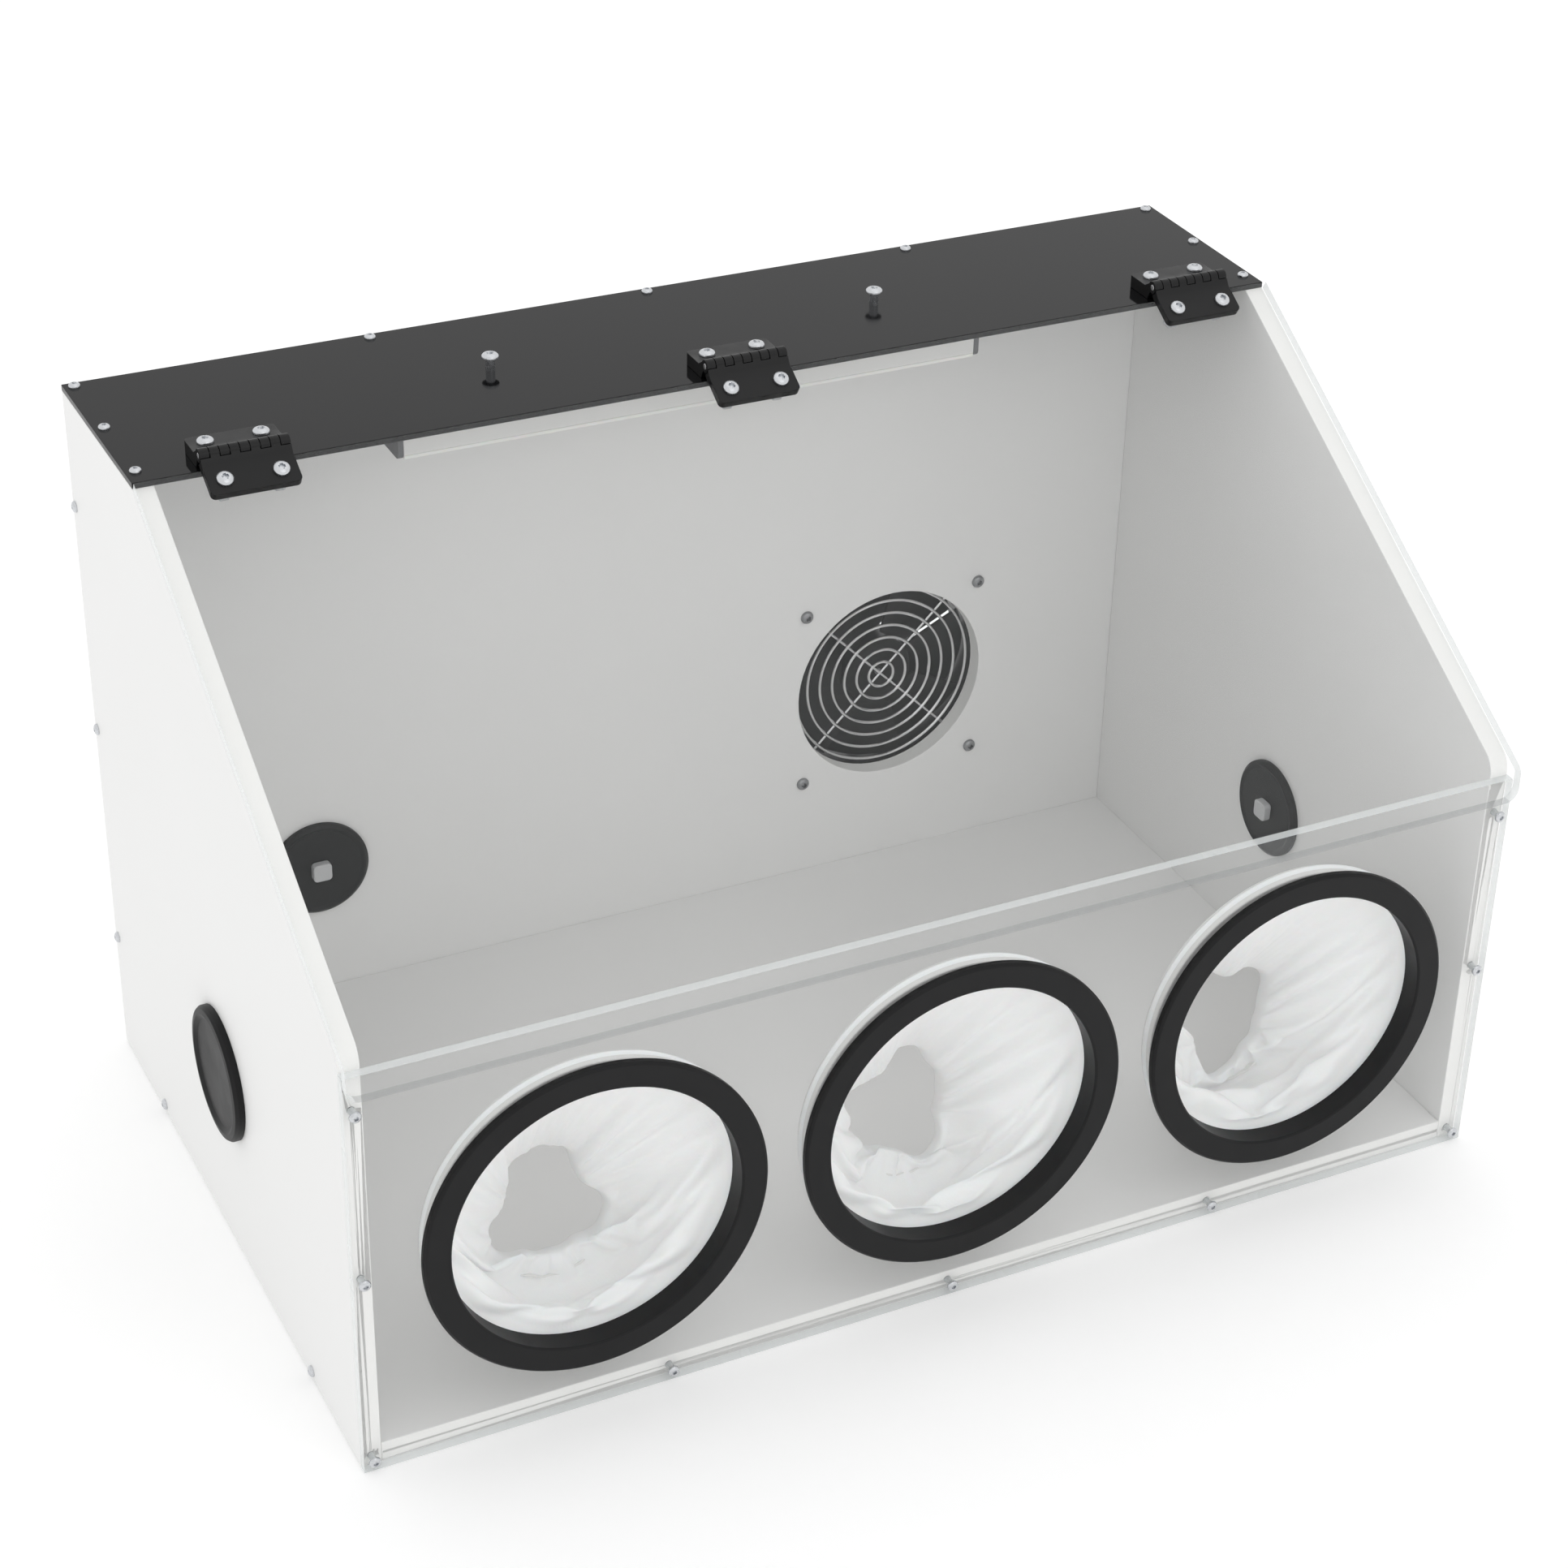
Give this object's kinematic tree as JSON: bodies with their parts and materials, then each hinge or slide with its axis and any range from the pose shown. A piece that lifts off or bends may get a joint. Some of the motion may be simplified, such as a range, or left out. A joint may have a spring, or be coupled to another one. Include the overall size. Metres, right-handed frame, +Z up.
{
  "type": "dust and glove work box",
  "caption": "Slanted-front bench work box with a clear hinged lid, a clear front window with sleeved arm ports and an extraction fan.",
  "frame": {"origin": "middle of the floor panel's underside, halfway between the side panels' outer faces and between the front window's outer face and the back panel's outer face", "axes": "+Z up, +X along the width to the right as seen from the front, +Y from the front window to the back panel"},
  "size_m": [0.6, 0.4012, 0.3839],
  "materials": {
    "white_board": "white expanded board, satin",
    "black_sheet": "black acrylic sheet, glossy",
    "clear_acrylic": "clear polished acrylic sheet",
    "black_plastic": "black moulded plastic, satin",
    "hinge_nylon": "black glass-filled nylon, moulded",
    "clamp_plastic": "white moulded plastic",
    "sleeve_fabric": "white woven coated fabric",
    "elastic_band": "white knitted elastic",
    "grey_plastic": "grey moulded plastic",
    "fan_plastic": "black moulded glass-filled plastic",
    "plated_steel": "zinc-plated steel",
    "ground_steel": "ground steel pin",
    "dark_steel": "black-oxide steel",
    "guard_wire": "bright nickel-plated wire",
    "stator_winding": "enamelled copper winding",
    "lamp_aluminium": "white powder-coated aluminium",
    "lamp_opal": "opal acrylic",
    "lamp_cap_plastic": "grey moulded plastic",
    "circuit_board": "white solder mask"
  },
  "bodies": {
    "cabinet": {"left_side_panel": "white_board", "right_side_panel": "white_board", "back_panel": "white_board", "floor_panel": "white_board", "top_panel": "black_sheet", "front_window": "clear_acrylic", "port_collar_left": "black_plastic", "port_collar_middle": "black_plastic", "port_collar_right": "black_plastic", "cover_outer_left": "black_plastic", "cover_outer_right": "black_plastic", "cover_outer_back": "black_plastic", "cover_inner_left": "black_plastic", "cover_inner_right": "black_plastic", "cover_inner_back": "black_plastic", "hinge_fixed_leaf_left": "hinge_nylon", "hinge_fixed_leaf_middle": "hinge_nylon", "hinge_fixed_leaf_right": "hinge_nylon", "port_clamp_ring_left": "clamp_plastic", "port_clamp_ring_middle": "clamp_plastic", "port_clamp_ring_right": "clamp_plastic", "arm_sleeve_left": "sleeve_fabric", "arm_sleeve_middle": "sleeve_fabric", "arm_sleeve_right": "sleeve_fabric", "cuff_elastic_left": "elastic_band", "cuff_elastic_middle": "elastic_band", "cuff_elastic_right": "elastic_band", "cover_knob_bolts": "grey_plastic", "fan_frame": "fan_plastic", "top_panel_screws": "plated_steel", "front_window_screws": "plated_steel", "left_side_screws": "plated_steel", "right_side_screws": "plated_steel", "hinge_top_bolts": "plated_steel", "hinge_top_nuts": "plated_steel", "lamp_bolts": "plated_steel", "lamp_nuts": "plated_steel", "fan_nuts": "plated_steel", "hinge_pins": "ground_steel", "fan_bolts": "dark_steel", "fan_guard": "guard_wire", "fan_stator": "stator_winding", "lamp_housing": "lamp_aluminium", "lamp_diffuser": "lamp_opal", "lamp_end_cap_left": "lamp_cap_plastic", "lamp_end_cap_right": "lamp_cap_plastic", "lamp_led_board": "circuit_board"},
    "lid": {"lid_window": "clear_acrylic", "hinge_moving_leaf_left": "hinge_nylon", "hinge_moving_leaf_middle": "hinge_nylon", "hinge_moving_leaf_right": "hinge_nylon", "hinge_lid_bolts": "plated_steel", "hinge_lid_nuts": "plated_steel"},
    "fan_rotor": {"fan_rotor": "fan_plastic", "fan_shaft": "plated_steel"}
  },
  "joints": [
    {"name": "lid_hinge", "type": "hinge", "parent": "cabinet", "child": "lid", "pos_m": [0, 0.069, 0.38061], "axis": [-1, 0, 0], "range_deg": [0, 150]},
    {"name": "fan_spin", "type": "hinge", "parent": "cabinet", "child": "fan_rotor", "pos_m": [0.1437, 0.195, 0.119], "axis": [0, 1, 0], "continuous": true}
  ]
}
